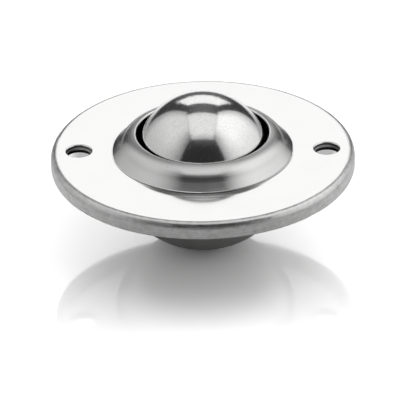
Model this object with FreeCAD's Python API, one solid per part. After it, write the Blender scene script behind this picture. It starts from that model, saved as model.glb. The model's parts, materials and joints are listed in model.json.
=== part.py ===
import FreeCAD, Part
import math
import os

Vec = FreeCAD.Vector

# Driving dimensions in millimetres. Z points up out of the mouth, and z = 0 is the flange's top face.

# Load ball: a standard one-inch ball that stands proud of the flange.
ball_diameter = 25.4
ball_drop = 1.6  # ball centre below the flange face

# Bed of bearing balls between the load ball and the race.
bearing_diameter = 3.175
rolling_clearance = 0.06  # between each pair of rolling surfaces
row_gap = 0.1  # least gap between neighbouring rows
side_gap = 0.05  # least gap between neighbours in one row

# Race cup and outer cup: two nested bowls round the same centre as the ball.
race_wall = 0.85
cup_wall = 0.8
nesting_clearance = 0.05

# Flange plate: pressed sheet with a turned-down rim and two screw holes on the X axis.
flange_diameter = 57.7
flange_thickness = 1.65
flange_depth = 3.45  # top face to the foot of the rim
rim_edge_radius = 0.9  # tight curve at the edge of the top face
rim_edge_slope = 47.0  # degrees, where the tight curve meets the broad one
rim_edge_land = 0.05  # straight run between the two curves
rim_side_radius = 1.45  # broad curve down into the side
rim_bend_radius = 0.4
rim_foot_radius = 0.6
hole_inset = 5.35  # hole centres in from the flange's edge
hole_diameter = 4.8
hole_edge_radius = 0.28

# Bezel ring: the turned collar that closes the mouth. Its spigot passes through the flange plate.
bezel_overlap = 0.74  # how far the bezel's brim covers the edge of the plate's bore
bezel_brim = 0.17  # width of the brim outside the wall
brim_height = 0.12
brim_edge_radius = 0.04
bezel_foot_radius = 0.2  # hollow curve from the brim up into the wall
bezel_wall = 1.1
bezel_waist = 0.075  # how far the wall is drawn in
bezel_waist_place = 0.5  # share of the wall's length below the waist
bezel_waist_radius = 9.0
bezel_shoulder_height = 3.37
bezel_shoulder_radius = 4.4  # crown of the lip
bezel_throat_radius = 3.8
lip_run = 1.87  # radial run from the mouth out to the shoulder
lip_slope = 15.5  # degrees, at the mouth
lip_hold = 0.11  # how much the mouth's radius is smaller than the ball's
lip_edge_radius = 0.25
lip_edge_height = 0.5  # upright face of the mouth
lip_under_radius = 0.1

# Spigot under the bezel: the outer cup's rim is rolled into its groove and clamps the plate.
spigot_wall = 0.8
spigot_overhang = 0.345  # how far the spigot stands in over the race
groove_depth = 0.35
rim_hook = 0.45  # height of the cup's rolled rim
land_height = 1.95  # spigot below the groove
assembly_clearance = 0.05
cup_rim_radius = 0.2

# Sizes that follow from the ones above.
ball_radius = ball_diameter / 2
bearing_radius = bearing_diameter / 2
centre = Vec(0, 0, -ball_drop)
bed_radius = ball_radius + rolling_clearance + bearing_radius
race_inner = bed_radius + bearing_radius + rolling_clearance
race_outer = race_inner + race_wall
cup_inner = race_outer + nesting_clearance
cup_outer = cup_inner + cup_wall

hole_spacing = flange_diameter - 2 * hole_inset

spigot_inner = race_inner - spigot_overhang
spigot_outer = spigot_inner + spigot_wall
groove_radius = spigot_outer - groove_depth
plate_bore = spigot_outer + assembly_clearance
groove_bottom = -flange_thickness - rim_hook - assembly_clearance
spigot_bottom = groove_bottom - land_height

bezel_base = plate_bore + bezel_overlap
mouth_radius = ball_radius - lip_hold
bezel_shoulder = mouth_radius + lip_run


def rounded_path(points):
    """Edges of an open outline in the XZ plane. Each point is (radius, height, corner radius)."""
    places = [Vec(r, 0, z) for r, z, corner in points]
    start = places[0]
    edges = []
    for before, here, after, corner in zip(places, places[1:], places[2:], [p[2] for p in points[1:]]):
        if corner:
            inward = (before - here).normalize()
            outward = (after - here).normalize()
            half_angle = inward.getAngle(outward) / 2
            reach = corner / math.tan(half_angle)
            bisector = (inward + outward).normalize()
            middle = here + bisector * (corner / math.sin(half_angle) - corner)
            edges.append(Part.LineSegment(start, here + inward * reach).toShape())
            edges.append(Part.Arc(here + inward * reach, middle, here + outward * reach).toShape())
            start = here + outward * reach
        else:
            edges.append(Part.LineSegment(start, here).toShape())
            start = here
    edges.append(Part.LineSegment(start, places[-1]).toShape())
    return edges


def turned(edges):
    """Solid of revolution about Z from the edges of a closed section."""
    section = Part.Face(Part.Wire(Part.__sortEdges__(edges)))
    return Part.makeSolid(section.revolve(Vec(0, 0, 0), Vec(0, 0, 1), 360))


def closed_ring(points):
    """Solid ring from a closed outline, whose first point has a plain corner."""
    return turned(rounded_path(points + [points[0]]))


def bowl_arc(radius, top):
    """Arc of a bowl round the ball's centre, from its bottom on the axis up to the height top."""
    rim = Vec(math.sqrt(radius ** 2 - (top - centre.z) ** 2), 0, top)
    tilt = math.atan2(rim.x, centre.z - top) / 2
    middle = centre + Vec(math.sin(tilt), 0, -math.cos(tilt)) * radius
    return Part.Arc(centre - Vec(0, 0, radius), middle, rim).toShape(), rim


def wall_line(start, end, offset):
    """The line from start to end moved sideways to its left, as a point and a direction."""
    along = (end - start).normalize()
    return start + Vec(-along.z, 0, along.x) * offset, along


def crossing(line_a, line_b):
    """Where two lines in the XZ plane meet."""
    (a, u), (b, v) = line_a, line_b
    reach = ((b.x - a.x) * v.z - (b.z - a.z) * v.x) / (u.x * v.z - u.z * v.x)
    return a + u * reach


def flange_plate():
    """Pressed disc with a turned-down rim, a bore for the bezel's spigot and two screw holes."""
    outer = flange_diameter / 2
    inner = outer - flange_thickness
    slope = math.radians(rim_edge_slope)
    edge_reach = rim_edge_radius * math.tan(slope / 2)
    side_reach = rim_side_radius * math.tan((math.pi / 2 - slope) / 2)
    bevel = edge_reach + rim_edge_land + side_reach
    plate = closed_ring([
        (plate_bore, 0, 0),
        (outer - bevel * math.cos(slope), 0, rim_edge_radius),
        (outer, -bevel * math.sin(slope), rim_side_radius),
        (outer, -flange_depth, rim_foot_radius),
        (inner, -flange_depth, rim_foot_radius),
        (inner, -flange_thickness, rim_bend_radius),
        (plate_bore, -flange_thickness, 0),
    ])
    for side in (-1, 1):
        axis_point = Vec(side * hole_spacing / 2, 0, -flange_thickness)
        plate = plate.cut(Part.makeCylinder(hole_diameter / 2, flange_thickness, axis_point))
    hole_edges = [
        edge for edge in plate.Edges
        if edge.Closed and abs(edge.CenterOfMass.z) < 1e-6 and abs(edge.CenterOfMass.x) > plate_bore
    ]
    return plate.makeFillet(hole_edge_radius, hole_edges)


def bezel_ring():
    """Turned collar: brim, waisted wall, crowned lip round the mouth, and a grooved spigot below."""
    foot = Vec(bezel_base - bezel_brim, 0, brim_height)
    shoulder = Vec(bezel_shoulder, 0, bezel_shoulder_height)
    lip_rise = lip_run * math.tan(math.radians(lip_slope))
    lip = Vec(mouth_radius, 0, bezel_shoulder_height + lip_rise)
    waist = wall_line(foot, shoulder, bezel_waist)[0] + (shoulder - foot) * bezel_waist_place
    wall_inside = wall_line(foot, shoulder, bezel_wall)
    lip_inside = wall_line(shoulder, lip, bezel_wall)
    throat = crossing(wall_inside, lip_inside)
    lip_under = lip - Vec(0, 0, lip_edge_height)
    spigot_top = crossing(wall_inside, (Vec(spigot_inner, 0, 0), Vec(0, 0, 1)))
    return closed_ring([
        (spigot_outer, 0, 0),
        (bezel_base, 0, 0),
        (bezel_base, brim_height, brim_edge_radius),
        (foot.x, foot.z, bezel_foot_radius),
        (waist.x, waist.z, bezel_waist_radius),
        (shoulder.x, shoulder.z, bezel_shoulder_radius),
        (lip.x, lip.z, lip_edge_radius),
        (lip_under.x, lip_under.z, lip_under_radius),
        (throat.x, throat.z, bezel_throat_radius),
        (spigot_top.x, spigot_top.z, 0),
        (spigot_inner, spigot_bottom, 0),
        (spigot_outer, spigot_bottom, 0),
        (spigot_outer, groove_bottom, 0),
        (groove_radius, groove_bottom, 0),
        (groove_radius, -flange_thickness, 0),
        (spigot_outer, -flange_thickness, 0),
    ])


def outer_cup():
    """Pressed bowl whose rim is rolled into the spigot's groove, up against the plate."""
    rim_top = -flange_thickness
    hook_inner = groove_radius + assembly_clearance
    land_inner = spigot_outer + assembly_clearance
    outside, outside_rim = bowl_arc(cup_outer, centre.z)
    inside, inside_rim = bowl_arc(cup_inner, spigot_bottom)
    rim = rounded_path([
        (outside_rim.x, outside_rim.z, 0),
        (outside_rim.x, rim_top, cup_rim_radius),
        (hook_inner, rim_top, 0),
        (hook_inner, rim_top - rim_hook, 0),
        (land_inner, rim_top - rim_hook, 0),
        (land_inner, spigot_bottom, 0),
        (inside_rim.x, inside_rim.z, 0),
    ])
    bottom = Part.LineSegment(centre - Vec(0, 0, cup_inner), centre - Vec(0, 0, cup_outer)).toShape()
    return turned([outside, inside, bottom] + rim)


def race_cup():
    """Hardened bowl that the bearing balls run in, held down by the end of the spigot."""
    outside, outside_rim = bowl_arc(race_outer, spigot_bottom)
    inside, inside_rim = bowl_arc(race_inner, spigot_bottom)
    bottom = Part.LineSegment(centre - Vec(0, 0, race_inner), centre - Vec(0, 0, race_outer)).toShape()
    return turned([outside, inside, bottom, Part.LineSegment(outside_rim, inside_rim).toShape()])


def main_ball():
    """The load ball, with its poles on the level axis that it rolls about."""
    return Part.makeSphere(ball_radius, centre, Vec(1, 0, 0))


def bearing_row(tilt):
    """One ring of bearing balls, at an angle from the bottom of the race."""
    ring_radius = bed_radius * math.sin(tilt)
    height = centre.z - bed_radius * math.cos(tilt)
    if ring_radius < bearing_diameter / 2:
        return [Part.makeSphere(bearing_radius, Vec(0, 0, height))]
    half_step = math.asin((bearing_diameter + side_gap) / (2 * ring_radius))
    count = int(math.pi / half_step)
    turns = [2 * math.pi * index / count for index in range(count)]
    return [
        Part.makeSphere(bearing_radius, Vec(ring_radius * math.cos(t), ring_radius * math.sin(t), height))
        for t in turns
    ]


def bearing_rows():
    """Rings of bearing balls spread evenly from the bottom of the race to just below the spigot."""
    highest = spigot_bottom - rolling_clearance - bearing_radius
    top_tilt = math.acos((centre.z - highest) / bed_radius)
    least_pitch = 2 * math.asin((bearing_diameter + row_gap) / (2 * bed_radius))
    steps = int(top_tilt / least_pitch)
    return {
        f"bearing_balls_row_{index + 1}": Part.makeCompound(bearing_row(top_tilt * index / steps))
        for index in range(steps + 1)
    }


pieces = {
    "flange_plate": flange_plate(),
    "bezel_ring": bezel_ring(),
    "outer_cup": outer_cup(),
    "race_cup": race_cup(),
    "main_ball": main_ball(),
    **bearing_rows(),
}

os.makedirs("parts", exist_ok=True)
for name, shape in pieces.items():
    shape.exportStep(f"parts/{name}.step")
    print(f"{name}: {len(shape.Solids)} solids, {shape.Volume:.1f} cubic mm, valid {shape.isValid()}")
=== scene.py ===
import json
import math
from types import SimpleNamespace
import bpy
from mathutils import Matrix, Vector

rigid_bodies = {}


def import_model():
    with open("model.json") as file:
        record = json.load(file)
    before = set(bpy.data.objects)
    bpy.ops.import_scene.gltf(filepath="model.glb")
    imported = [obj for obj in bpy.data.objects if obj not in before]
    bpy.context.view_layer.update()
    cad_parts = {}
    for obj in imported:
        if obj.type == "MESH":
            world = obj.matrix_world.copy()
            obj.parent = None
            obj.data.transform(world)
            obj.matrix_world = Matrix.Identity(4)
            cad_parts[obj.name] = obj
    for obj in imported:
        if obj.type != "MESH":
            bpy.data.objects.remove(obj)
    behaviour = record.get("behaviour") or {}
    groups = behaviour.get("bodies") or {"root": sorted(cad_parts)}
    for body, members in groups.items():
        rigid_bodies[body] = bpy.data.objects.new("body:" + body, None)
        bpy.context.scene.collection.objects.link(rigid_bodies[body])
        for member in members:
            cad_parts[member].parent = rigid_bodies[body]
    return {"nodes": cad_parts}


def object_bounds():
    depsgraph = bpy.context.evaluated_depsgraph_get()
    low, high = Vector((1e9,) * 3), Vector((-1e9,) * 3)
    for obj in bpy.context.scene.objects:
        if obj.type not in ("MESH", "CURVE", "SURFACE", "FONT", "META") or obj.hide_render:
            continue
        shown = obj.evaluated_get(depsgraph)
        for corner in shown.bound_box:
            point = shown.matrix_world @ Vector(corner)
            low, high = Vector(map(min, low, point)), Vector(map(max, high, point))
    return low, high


for leftover in list(bpy.data.objects):
    bpy.data.objects.remove(leftover)

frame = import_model()
nodes = frame["nodes"]
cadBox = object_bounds()
print("frame loaded:", len(nodes), "nodes")


class Socket:
    # one node output; plain Python maths on it adds Math nodes
    def __init__(self, tree, out=None):
        self.tree = tree
        self.out = out

    def node(self, kind, settings, inputs, output=0):
        made = self.tree.nodes.new(kind)
        for name, value in settings.items():
            setattr(made, name, value)
        for key, value in inputs.items():
            if isinstance(value, Socket):
                self.tree.links.new(value.out, made.inputs[key])
            else:
                made.inputs[key].default_value = value
        return Socket(self.tree, made.outputs[output] if made.outputs else None)

    def maths(self, operation, first, second=0.0):
        return self.node("ShaderNodeMath", {"operation": operation}, {0: first, 1: second})

    def __add__(self, other):
        return self.maths("ADD", self, other)

    def __radd__(self, other):
        return self.maths("ADD", other, self)

    def __sub__(self, other):
        return self.maths("SUBTRACT", self, other)

    def __rsub__(self, other):
        return self.maths("SUBTRACT", other, self)

    def __mul__(self, other):
        return self.maths("MULTIPLY", self, other)

    def __rmul__(self, other):
        return self.maths("MULTIPLY", other, self)

    def __truediv__(self, other):
        return self.maths("DIVIDE", self, other)

    def __pow__(self, other):
        return self.maths("POWER", self, other)

    def __abs__(self):
        return self.maths("ABSOLUTE", self)

    def between(self, low, high):
        # 0 at low, 1 at high, smooth in between
        return self.node("ShaderNodeMapRange", {"interpolation_type": "SMOOTHSTEP"},
                         {"Value": self, "From Min": low, "From Max": high})

    def swing(self, amount):
        # turns a noise of 0 to 1 into a change of half the amount either way
        return (self - 0.5) * amount


def newMaterial(name):
    material = bpy.data.materials.new(name)
    material.use_nodes = True
    tree = material.node_tree
    tree.nodes.clear()
    return material, Socket(tree)


def closeMaterial(start, shader):
    start.node("ShaderNodeOutputMaterial", {}, {"Surface": shader})


def away(x, y):
    return (x * x + y * y) ** 0.5


def position(start):
    # place on the object in metres, with the radius from the Z axis and the angle round it
    point = start.node("ShaderNodeTexCoord", {}, {}, "Object")
    x, y, z = (start.node("ShaderNodeSeparateXYZ", {}, {"Vector": point}, axis) for axis in "XYZ")
    angle = start.maths("ARCTAN2", y, x)
    return SimpleNamespace(point=point, x=x, y=y, z=z, radius=away(x, y), angle=angle)


def noise(start, place, scale, detail=2.0, rough=0.5):
    return start.node("ShaderNodeTexNoise", {},
                      {"Vector": place, "Scale": scale, "Detail": detail, "Roughness": rough})


def combine(start, x, y, z):
    return start.node("ShaderNodeCombineXYZ", {}, {"X": x, "Y": y, "Z": z})


def ringNoise(start, at, fine, turns, detail=2.0, rough=0.5):
    # fine across the piece and drawn out round its axis, as a tool in a lathe leaves it
    place = combine(start, at.radius * fine, at.z * fine, at.angle * turns)
    return noise(start, place, 1.0, detail, rough)


def blend(start, amount, first, second):
    # from the first colour to the second; a plain colour is red, green, blue
    ends = [colour if isinstance(colour, Socket) else (*colour, 1) for colour in (first, second)]
    return start.node("ShaderNodeMix", {"data_type": "RGBA"},
                      {"Factor": amount, 6: ends[0], 7: ends[1]}, 2)  # 6, 7 and 2 are its colour sockets


def grey(level):
    return (level, level, level)


def bump(start, height, depth, normal=None):
    inputs = {"Height": height, "Distance": depth, "Strength": 1.0}
    if normal:
        inputs["Normal"] = normal
    return start.node("ShaderNodeBump", {}, inputs)


def steel(start, colour, roughness, normal):
    return start.node("ShaderNodeBsdfPrincipled", {},
                      {"Base Color": colour, "Metallic": 1.0, "Roughness": roughness, "Normal": normal})


def dress(name, material):
    piece = nodes[name]
    piece.data.materials.clear()
    piece.data.materials.append(material)


# flange plate: satin pressed sheet, spun rim, sheared holes with painted shade on their walls
flange = {"dark": (0.76, 0.76, 0.755), "light": (0.84, 0.84, 0.835), "roughness": 0.1,
          "grain": 5200.0, "grainDepth": 0.0000005, "grainShare": 0.4, "grainRough": 0.06,
          "cloud": 160.0, "cloudRough": 0.04, "dish": 0.034,
          "rim": (0.0274, 0.0281), "rimDark": (0.5, 0.5, 0.495), "rimLight": (0.84, 0.84, 0.835),
          "rimRoughness": 0.38, "rimVary": 0.3, "rimContrast": 1.3, "rimGrain": 12.0,
          "streak": 3200.0, "streakTurns": 7.0, "blotch": 1100.0, "blotchTurns": 28.0,
          "holeAt": 0.0235, "holeWall": (0.00242, 0.00246), "holeTop": (-0.00016, -0.00028),
          "holeRough": 0.25,
          "holeShadeDark": (0.09, 0.09, 0.09), "shearBandSheen": (0.5, 0.5, 0.495), "shearStreak": 0.5,
          "holeFootShade": (0.012, 0.012, 0.012),
          "shearHigh": -0.00052, "shearLow": -0.00098, "shearStep": 0.00016}
material, start = newMaterial("flangeSatin")
at = position(start)
grain = noise(start, at.point, flange["grain"], detail=3.0, rough=0.6)
cloud = noise(start, at.point, flange["cloud"], detail=3.0)
streak = ringNoise(start, at, flange["streak"], flange["streakTurns"], detail=3.0, rough=0.6)
blotch = ringNoise(start, at, flange["blotch"], flange["blotchTurns"], detail=3.0, rough=0.6)
onRim = at.radius.between(*flange["rim"])
holeRadius = away(abs(at.x) - flange["holeAt"], at.y)
inHole = (1 - holeRadius.between(*flange["holeWall"])) * at.z.between(*flange["holeTop"])
# down the wall of a hole: painted shade at the top, then a lighter sheared band that is partly a painted
# reflection, then a nearly black painted shade at its foot
shine = at.z.between(flange["shearHigh"], flange["shearHigh"] - flange["shearStep"])
# the foot of the hole wall is painted nearly black, a painted shade
footShade = at.z.between(flange["shearLow"], flange["shearLow"] - flange["shearStep"])
shearAmount = shine * (1 - flange["shearStreak"] + streak * flange["shearStreak"])
shearAndShadeTint = blend(start, shearAmount, flange["holeShadeDark"], flange["shearBandSheen"])
holeShadeTint = blend(start, footShade, shearAndShadeTint, flange["holeFootShade"])
faceAmount = grain * flange["grainShare"] + cloud * (1 - flange["grainShare"])
faceTint = blend(start, faceAmount, flange["dark"], flange["light"])
rimAmount = 0.5 + streak.swing(flange["rimContrast"]) + blotch.swing(flange["rimContrast"])
rimTint = blend(start, rimAmount, flange["rimDark"], flange["rimLight"])
outside = blend(start, onRim, faceTint, rimTint)
colour = blend(start, inHole, outside, holeShadeTint)
faceRough = flange["roughness"] + grain.swing(flange["grainRough"]) + cloud.swing(flange["cloudRough"])
rimRough = flange["rimRoughness"] + streak.swing(flange["rimVary"]) + blotch.swing(flange["rimVary"])
roughness = faceRough * (1 - onRim) + rimRough * onRim + inHole * flange["holeRough"]
height = grain * (1 - onRim) + streak * onRim * flange["rimGrain"]
dished = bump(start, 0 - at.radius, flange["dish"])  # the face falls a little to its rim
closeMaterial(start, steel(start, colour, roughness, bump(start, height, flange["grainDepth"], dished)))
dress("flange_plate", material)
print("flange plate dressed")

# bezel ring: fine turning marks round the axis, mouth edge and foot painted lighter as a painted highlight,
# painted shade in the bore and round the outer foot
bezel = {"dark": (0.56, 0.56, 0.555), "light": (0.69, 0.69, 0.685), "roughness": 0.2,
         "lip": (0.0029, 0.0035), "lipRoughness": 0.34,
         "lines": 7000.0, "lineTurns": 0.4, "lineDepth": 0.0000016, "lineShare": 0.5, "lineRough": 0.1,
         "cloud": 220.0, "cloudRough": 0.1, "speck": 2600.0, "speckRough": 0.06,
         "mouth": 0.01259, "lipTop": 0.003889, "lipFall": 0.2773,
         "foot": 0.01707, "footTop": 0.00012, "wallRise": 1.2452, "cove": 16.0, "coveWidth": 0.00167,
         "edge": (0.94, 0.94, 0.935), "edgeRoughness": 0.14,
         "mouthEdge": (0.0003, 0.00015), "footEdge": (-0.00006, 0.0),
         "brimShade": (0.22, 0.22, 0.22), "brimShadeEdge": (0.00013, 0.00016),
         "insideShade": (0.05, 0.05, 0.05), "insideRoughness": 0.5, "insideDepth": (0.00032, 0.00045)}
material, start = newMaterial("bezelTurned")
at = position(start)
turning = ringNoise(start, at, bezel["lines"], bezel["lineTurns"], rough=0.6)
cloud = noise(start, at.point, bezel["cloud"], detail=3.0)
speck = noise(start, at.point, bezel["speck"])
# the bore is what lies well under the lines of the lip and the wall
fromMouth = at.radius - bezel["mouth"]
fromFoot = at.radius - bezel["foot"]
lipLine = bezel["lipTop"] - fromMouth * bezel["lipFall"]
wallLine = bezel["footTop"] - fromFoot * bezel["wallRise"]
inside = (start.maths("MINIMUM", lipLine, wallLine) - at.z).between(*bezel["insideDepth"])
onEdge = fromMouth.between(*bezel["mouthEdge"]) + fromFoot.between(*bezel["footEdge"])
# painted shade: a dark ring round the outer edge of the foot, where the ring sits on the plate
inBrimShade = fromFoot.between(*bezel["brimShadeEdge"])
turnedAmount = turning * bezel["lineShare"] + cloud * (1 - bezel["lineShare"])
turned = blend(start, turnedAmount, bezel["dark"], bezel["light"])
# the mouth edge and the foot are painted lighter, a painted highlight, and are also polished smoother
edgeHighlighted = blend(start, onEdge, turned, bezel["edge"])
outside = blend(start, inBrimShade, edgeHighlighted, bezel["brimShade"])
# the bore under the lip and the wall is painted nearly black, a painted shade
colour = blend(start, inside, outside, bezel["insideShade"])
onLip = at.z.between(*bezel["lip"])
finish = bezel["roughness"] + (bezel["lipRoughness"] - bezel["roughness"]) * onLip
marks = (turning.swing(bezel["lineRough"]) + cloud.swing(bezel["cloudRough"])
         + speck.swing(bezel["speckRough"]))
outRough = finish + (bezel["edgeRoughness"] - finish) * onEdge + marks
roughness = outRough + (bezel["insideRoughness"] - bezel["roughness"]) * inside
# the wall hollows out towards its foot
onWall = start.maths("MINIMUM", fromFoot, 0.0)
cove = start.maths("MAXIMUM", onWall + bezel["coveWidth"], 0.0)
coved = bump(start, cove * cove, bezel["cove"])
closeMaterial(start, steel(start, colour, roughness, bump(start, turning, bezel["lineDepth"], coved)))
dress("bezel_ring", material)
print("bezel ring dressed")

# outer cup: dull drawn sheet, draw marks run down the bowl
cup = {"dark": (0.36, 0.36, 0.355), "light": (0.5, 0.5, 0.495), "roughness": 0.36,
       "draws": 26.0, "drawChange": 30.0, "drawDepth": 0.000003, "drawShare": 0.5, "drawRough": 0.12,
       "cloud": 300.0, "cloudRough": 0.12}
material, start = newMaterial("cupDrawn")
at = position(start)
around = combine(start, at.x / at.radius, at.y / at.radius, at.z * cup["drawChange"])
draw = noise(start, around, cup["draws"], detail=4.0, rough=0.65)
cloud = noise(start, at.point, cup["cloud"], detail=4.0)
colour = blend(start, draw * cup["drawShare"] + cloud * (1 - cup["drawShare"]), cup["dark"], cup["light"])
roughness = cup["roughness"] + draw.swing(cup["drawRough"]) + cloud.swing(cup["cloudRough"])
closeMaterial(start, steel(start, colour, roughness, bump(start, draw, cup["drawDepth"])))
dress("outer_cup", material)
print("outer cup dressed")

# race cup: ground bowl
race = {"dark": (0.5, 0.5, 0.5), "light": (0.62, 0.62, 0.62), "roughness": 0.2,
        "lines": 5200.0, "lineTurns": 1.0, "lineDepth": 0.000001, "lineRough": 0.1}
material, start = newMaterial("raceGround")
at = position(start)
grind = ringNoise(start, at, race["lines"], race["lineTurns"])
colour = blend(start, grind, race["dark"], race["light"])
roughness = race["roughness"] + grind.swing(race["lineRough"])
closeMaterial(start, steel(start, colour, roughness, bump(start, grind, race["lineDepth"])))
dress("race_cup", material)
print("race cup dressed")

# load ball: mirror polish with hairline scratches
ball = {"dark": (0.62, 0.62, 0.615), "light": (0.92, 0.92, 0.915), "roughness": 0.12,
        "cloud": 240.0, "cloudRough": 0.05, "fine": 2600.0, "fineShare": 0.75, "fineRough": 0.06,
        "hairs": ((0.0, 0.9, 0.3), (0.0, 1.25, -0.4), (0.0, -0.6, 0.5)),  # how each set of scratches turns
        "hairSize": (0.0038, 0.00019, 0.00019), "hairCut": (0.66, 0.72), "hairDepth": 0.0000007,
        "hairDark": 0.3, "hairRough": 0.1}
material, start = newMaterial("ballMirror")
at = position(start)
hair = 0.0
for turn in ball["hairs"]:
    along = start.node("ShaderNodeMapping", {"vector_type": "TEXTURE"},
                       {"Vector": at.point, "Rotation": turn, "Scale": ball["hairSize"]})
    hair = noise(start, along, 1.0, detail=1.0).between(*ball["hairCut"]) + hair
cloud = noise(start, at.point, ball["cloud"], detail=4.0, rough=0.6)
fine = noise(start, at.point, ball["fine"], detail=3.0, rough=0.7)
polish = cloud * (1 - ball["fineShare"]) + fine * ball["fineShare"] - hair * ball["hairDark"]
colour = blend(start, polish, ball["dark"], ball["light"])
marks = cloud.swing(ball["cloudRough"]) + fine.swing(ball["fineRough"]) + hair * ball["hairRough"]
closeMaterial(start, steel(start, colour, ball["roughness"] + marks, bump(start, hair, ball["hairDepth"])))
dress("main_ball", material)
print("load ball dressed")

# bearing balls: small polished balls
bearings = {"dark": (0.62, 0.62, 0.62), "light": (0.74, 0.74, 0.74), "roughness": 0.08,
            "cloud": 900.0, "cloudRough": 0.06, "fine": 6000.0, "fineDepth": 0.0000004}
material, start = newMaterial("bearingPolish")
at = position(start)
cloud = noise(start, at.point, bearings["cloud"], detail=3.0)
fine = noise(start, at.point, bearings["fine"])
colour = blend(start, cloud, bearings["dark"], bearings["light"])
roughness = bearings["roughness"] + cloud.swing(bearings["cloudRough"])
closeMaterial(start, steel(start, colour, roughness, bump(start, fine, bearings["fineDepth"])))
rows = [name for name in nodes if name.startswith("bearing_balls_row_")]
for row in rows:
    dress(row, material)
print("bearing balls dressed:", len(rows), "rows")


def quad(name, corners):
    # one flat sheet of the studio
    mesh = bpy.data.meshes.new(name)
    mesh.from_pydata(corners, [], [(0, 1, 2, 3)])
    piece = bpy.data.objects.new(name, mesh)
    bpy.context.scene.collection.objects.link(piece)
    return piece


# floor: pale gloss sheet, with a mirror image of the part that fades to the front and a painted shadow
# behind the part
# bounce is the floor's colour in the steel's reflections, painted lighter behind (rear) and beside the part
# (flank) as painted light
floor = {"gap": 0.00002, "half": 4.0, "white": 2.3, "bounce": 0.68,
         "rearBounce": 1.7, "rearFrom": (0.05, 0.09), "rearSpread": (0.6, 0.25),
         "flankBounce": 1.2, "flankNear": (0.02, 0.04), "flankFar": (0.1, 0.06),
         "flankFront": (-0.06, 0.02), "flankBack": (0.07, 0.04),
         "mirror": 0.335, "mirrorRoughness": 0.07, "fade": (-0.052, -0.024),
         "shade": 0.17, "shadeAt": 0.0355, "shadeEdge": (0.0248, 0.0288)}
low = cadBox[0].z - floor["gap"]
half = floor["half"]
floorPiece = quad("floor", [(-half, -half, 0), (half, -half, 0), (half, half, 0), (-half, half, 0)])
floorPiece.location = (0, 0, low)
material, start = newMaterial("floorGloss")
at = position(start)
seen = start.node("ShaderNodeLightPath", {}, {}, "Is Camera Ray")
# painted shadow: a dark grey round patch on the floor behind the part, for camera rays only, so the floor
# seen through the holes is dark
shade = 1 - away(at.x, at.y - floor["shadeAt"]).between(*floor["shadeEdge"])
seenPaint = blend(start, shade, grey(floor["white"]), grey(floor["shade"]))
aside = abs(at.x)
rear = at.y.between(*floor["rearFrom"]) * (aside / at.y).between(*floor["rearSpread"])
flankAcross = aside.between(*floor["flankNear"]) * aside.between(*floor["flankFar"])
flank = flankAcross * at.y.between(*floor["flankFront"]) * at.y.between(*floor["flankBack"])
# painted light: in reflections the floor is lighter behind and beside the part
rearPaint = blend(start, rear, grey(floor["bounce"]), grey(floor["rearBounce"]))
bouncePaint = blend(start, flank, rearPaint, grey(floor["flankBounce"]))
matt = start.node("ShaderNodeBsdfDiffuse", {}, {"Color": blend(start, seen, bouncePaint, seenPaint)})
mirror = start.node("ShaderNodeBsdfGlossy", {},
                    {"Color": (1, 1, 1, 1), "Roughness": floor["mirrorRoughness"]})
share = seen * at.y.between(*floor["fade"]) * floor["mirror"]
sheet = start.node("ShaderNodeMixShader", {}, {0: share, 1: matt, 2: mirror})
underside = start.node("ShaderNodeNewGeometry", {}, {}, "Backfacing")
clear = start.node("ShaderNodeBsdfTransparent", {}, {})  # seen from below, the floor is clear
closeMaterial(start, start.node("ShaderNodeMixShader", {}, {0: underside, 1: sheet, 2: clear}))
floorPiece.data.materials.append(material)
print("floor laid")

# light tent: white cloth left, right, above and behind, open at the front
# places are shares of the half width (side, back) or the height (top)
# a fall gives, for each axis, the light at the low border and how far in it dims,
# then the same for the high border
tent = {"half": 0.3, "height": 0.795, "seam": 0.004,
        "left": 0.83, "right": 1.25, "sideFoot": -1.1, "sideHead": -1.46, "sideBack": 1.28,
        "sideFall": {"Y": (0.25, 0.5, 0.55, 0.25), "Z": (0.74, 0.4, 0.95, 0.2)},
        "top": 0.96, "topFront": -0.61, "topBack": 0.376,
        "topFall": {"X": (0.95, 0.15, 0.95, 0.15), "Y": (0.55, 0.3, 0.85, 0.2)},
        "back": 1.18, "backAt": 2.0, "backLeft": -0.8, "backRight": 0.88, "backLow": 0.66, "backHigh": 2.06,
        "backFall": {"X": (0.9, 0.1, 0.9, 0.1), "Z": (0.9, 0.1, 0.9, 0.1)},
        "gaps": 0.14, "sides": 0.05, "front": 0.03, "sideTurn": (0.1, 0.4), "frontTurn": (-0.75, -0.4)}


def panel(name, corners, radiance, fall):
    # a lit cloth that dims to its borders
    piece = quad(name, corners)
    piece.visible_camera = False
    piece.visible_shadow = False
    material, start = newMaterial(name)
    spread = start.node("ShaderNodeTexCoord", {}, {}, "Generated")
    glow = 1.0
    for axis, (lowLight, lowDepth, highLight, highDepth) in fall.items():
        along = start.node("ShaderNodeSeparateXYZ", {}, {"Vector": spread}, axis)
        glow = (lowLight + along.between(0.0, lowDepth) * (1 - lowLight)) * glow
        glow = (highLight + along.between(1.0, 1.0 - highDepth) * (1 - highLight)) * glow
    light = blend(start, glow, grey(0), grey(radiance))
    closeMaterial(start, start.node("ShaderNodeEmission", {}, {"Color": light}))
    piece.data.materials.append(material)


wide, tall = tent["half"], tent["height"]
foot, head, back = tent["sideFoot"] * wide, tent["sideHead"] * wide, tent["sideBack"] * wide
seamHigh = tall - tent["seam"]
for name, x in (("left", -wide), ("right", wide)):
    corners = [(x, foot, low), (x, back, low), (x, back, seamHigh), (x, head, seamHigh)]
    panel(name + "Cloth", corners, tent[name], tent["sideFall"])

x = wide - tent["seam"]
front, back = tent["topFront"] * tall, tent["topBack"] * tall
corners = [(-x, front, tall), (x, front, tall), (x, back, tall), (-x, back, tall)]
panel("topCloth", corners, tent["top"], tent["topFall"])

left, right, y = tent["backLeft"] * wide, tent["backRight"] * wide, tent["backAt"] * wide
foot, head = tent["backLow"] * wide, tent["backHigh"] * wide
corners = [(left, y, foot), (right, y, foot), (right, y, head), (left, y, head)]
panel("backCloth", corners, tent["back"], tent["backFall"])

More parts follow.
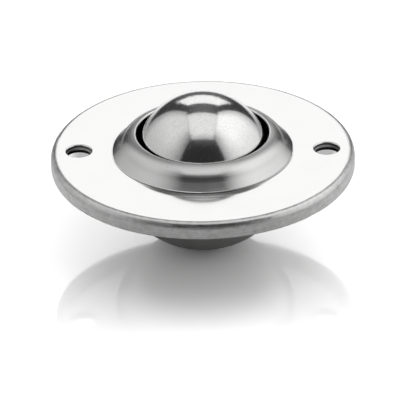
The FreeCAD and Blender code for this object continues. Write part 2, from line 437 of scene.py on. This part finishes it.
# room round the tent: white to the camera, dim to the steel and dimmest at the open front
world = bpy.data.worlds.new("studio")
world.use_nodes = True
bpy.context.scene.world = world
world.node_tree.nodes.clear()
start = Socket(world.node_tree)
way = start.node("ShaderNodeTexCoord", {}, {}, "Generated")
wayX, wayY = (start.node("ShaderNodeSeparateXYZ", {}, {"Vector": way}, axis) for axis in "XY")
seen = start.node("ShaderNodeLightPath", {}, {}, "Is Camera Ray")
rear = tent["gaps"] + (tent["sides"] - tent["gaps"]) * abs(wayX).between(*tent["sideTurn"])
dim = tent["front"] + (rear - tent["front"]) * wayY.between(*tent["frontTurn"])
air = blend(start, seen + (1 - seen) * dim, grey(0), grey(1))
sky = start.node("ShaderNodeBackground", {}, {"Color": air})
start.node("ShaderNodeOutputWorld", {}, {"Surface": sky})
print("lights set")

# camera fitted to the photograph; focal and target are in its pixels, and the target is the plate's middle
view = {"distance": 0.85634, "elevation": 28.481, "orbit": 0.637, "roll": -0.963,
        "focal": 4516.96, "image": 400, "target": (203.63, 149.51), "sensor": 36.0, "clip": (0.01, 20.0)}
lift = math.radians(view["elevation"])
spot = Vector((0, -math.cos(lift), math.sin(lift))) * view["distance"]
ahead = -spot.normalized()
right = Vector((1, 0, 0))
up = right.cross(ahead)
middle = view["image"] / 2
pan = math.atan((view["target"][0] - middle) / view["focal"])
tilt = math.atan((view["target"][1] - middle) / view["focal"])
aim = Matrix.Rotation(pan, 3, up) @ Matrix.Rotation(tilt, 3, right)
right, up, ahead = aim @ right, aim @ up, aim @ ahead
roll = math.radians(view["roll"])
across = math.cos(roll) * right + math.sin(roll) * up
upright = math.cos(roll) * up - math.sin(roll) * right
axes = Matrix((across, upright, -ahead)).transposed().to_4x4()
camera = bpy.data.cameras.new("camera")
camera.sensor_width = view["sensor"]
camera.lens = view["focal"] * view["sensor"] / view["image"]
camera.clip_start, camera.clip_end = view["clip"]
cameraPiece = bpy.data.objects.new("camera", camera)
orbit = Matrix.Rotation(math.radians(view["orbit"]), 4, "Z")
cameraPiece.matrix_world = orbit @ Matrix.Translation(spot) @ axes
bpy.context.scene.collection.objects.link(cameraPiece)
bpy.context.scene.camera = cameraPiece
bpy.context.scene.view_settings.view_transform = "Standard"
print("camera placed")
